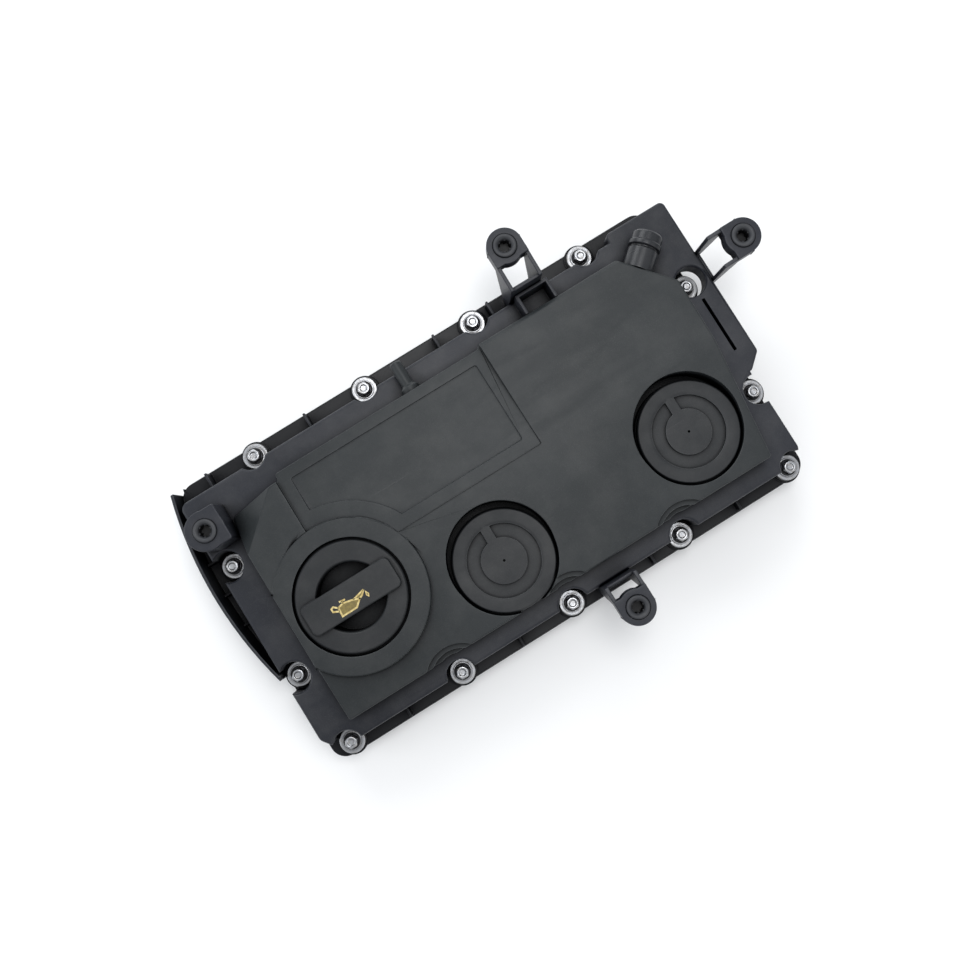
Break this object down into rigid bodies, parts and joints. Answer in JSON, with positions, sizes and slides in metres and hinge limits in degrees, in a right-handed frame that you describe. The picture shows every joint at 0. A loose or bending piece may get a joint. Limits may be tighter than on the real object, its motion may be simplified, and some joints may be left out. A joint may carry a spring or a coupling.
{
  "type": "cylinder head cover",
  "caption": "Moulded engine cylinder head cover with oil filler cap, crankcase pressure regulators, breather port and captive flange bolts.",
  "frame": {"origin": "middle of the bolt layout, on the head's joint face that the free gasket touches", "axes": "+X along the engine towards the breather port end, +Y across it towards the hose nipple, +Z away from the head"},
  "size_m": [0.4304, 0.2655, 0.0832],
  "materials": {
    "cover_plastic": "satin",
    "lid_plastic": "satin",
    "cap_plastic": "satin",
    "port_plastic": "satin",
    "rubber": "matte",
    "gasket_rubber": "matte",
    "zinc_steel": "satin",
    "spring_steel": "satin"
  },
  "bodies": {
    "root": {"cover_body": "cover_plastic", "separator_lid": "lid_plastic", "separator_baffle": "cover_plastic", "breather_port": "port_plastic", "filler_seal": "rubber", "back_arm": "cover_plastic", "right_arm": "cover_plastic", "front_arm": "cover_plastic", "corner_post": "cover_plastic", "bolt_rings": "rubber", "bolt_bushes": "rubber", "bolt_sleeves": "zinc_steel", "cover_bolts": "zinc_steel", "cover_gasket": "gasket_rubber", "regulator_cap_1": "cap_plastic", "diaphragm_1": "rubber", "valve_spring_1": "spring_steel", "regulator_cap_2": "cap_plastic", "diaphragm_2": "rubber", "valve_spring_2": "spring_steel", "back_grommet": "rubber", "right_grommet": "rubber", "front_grommet": "rubber", "post_grommet": "rubber"},
    "oil_cap": {"filler_cap": "cap_plastic"},
    "valve_1": {"valve_plate_1": "port_plastic"},
    "valve_2": {"valve_plate_2": "port_plastic"}
  },
  "joints": [
    {"name": "cap_turn", "type": "hinge", "parent": "root", "child": "oil_cap", "pos_m": [-0.12, -0.0175, 0.05], "axis": [0, 0, 1], "range_deg": [0, 90]},
    {"name": "valve_1_travel", "type": "slide", "parent": "root", "child": "valve_1", "axis": [0, 0, -1], "range_m": [0, 0.003], "stiffness_N_per_m": 120, "springref_m": -0.004, "deforming": ["valve_spring_1", "diaphragm_1"]},
    {"name": "valve_2_travel", "type": "slide", "parent": "root", "child": "valve_2", "axis": [0, 0, -1], "range_m": [0, 0.003], "stiffness_N_per_m": 120, "springref_m": -0.004, "deforming": ["valve_spring_2", "diaphragm_2"]}
  ]
}
